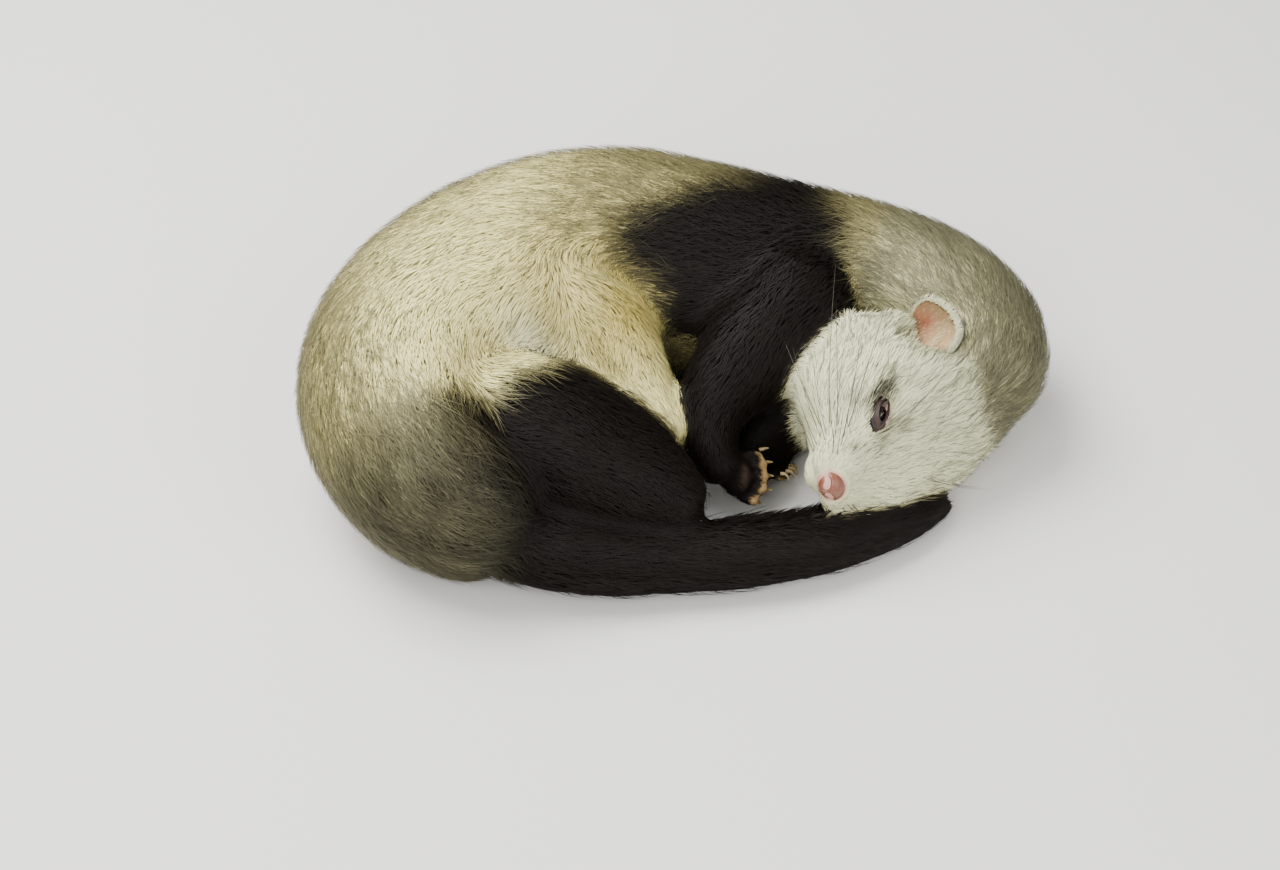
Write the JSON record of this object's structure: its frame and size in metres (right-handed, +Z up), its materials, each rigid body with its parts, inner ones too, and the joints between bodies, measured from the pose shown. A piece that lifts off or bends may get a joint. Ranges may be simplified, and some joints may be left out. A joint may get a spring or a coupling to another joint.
{
  "type": "ferret",
  "caption": "Ferret asleep on its left side, curled round with its tail drawn in front of its nose.",
  "frame": {"origin": "on the floor, under the middle of the object's box", "axes": "+X from the rump to the head along the floor, +Y towards the curled back, +Z up"},
  "size_m": [0.2218, 0.1504, 0.0699],
  "materials": {
    "cream_fur": "soft pale cream fur",
    "dark_fur": "soft black-brown fur",
    "white_fur": "short off-white fur",
    "pink_skin": "moist bare skin",
    "dark_eye": "wet and glossy"
  },
  "bodies": {
    "root": {"nose": "pink_skin", "eye_right": "dark_eye", "eye_left": "dark_eye", "ear_right": "white_fur", "ear_left": "white_fur", "head": "white_fur", "torso_rump": "cream_fur", "torso_belly": "cream_fur", "torso_chest": "dark_fur", "neck": "cream_fur", "hindleg_right": "dark_fur", "foreleg_right": "dark_fur", "hindleg_left": "dark_fur", "foreleg_left": "dark_fur", "shank_right": "dark_fur", "forepaw_right": "dark_fur", "forepaw_left": "dark_fur", "hindpaw_right": "dark_fur", "hindpaw_left": "dark_fur", "tail_base": "dark_fur", "tail_middle": "dark_fur", "tail_tip": "dark_fur"}
  },
  "joints": []
}
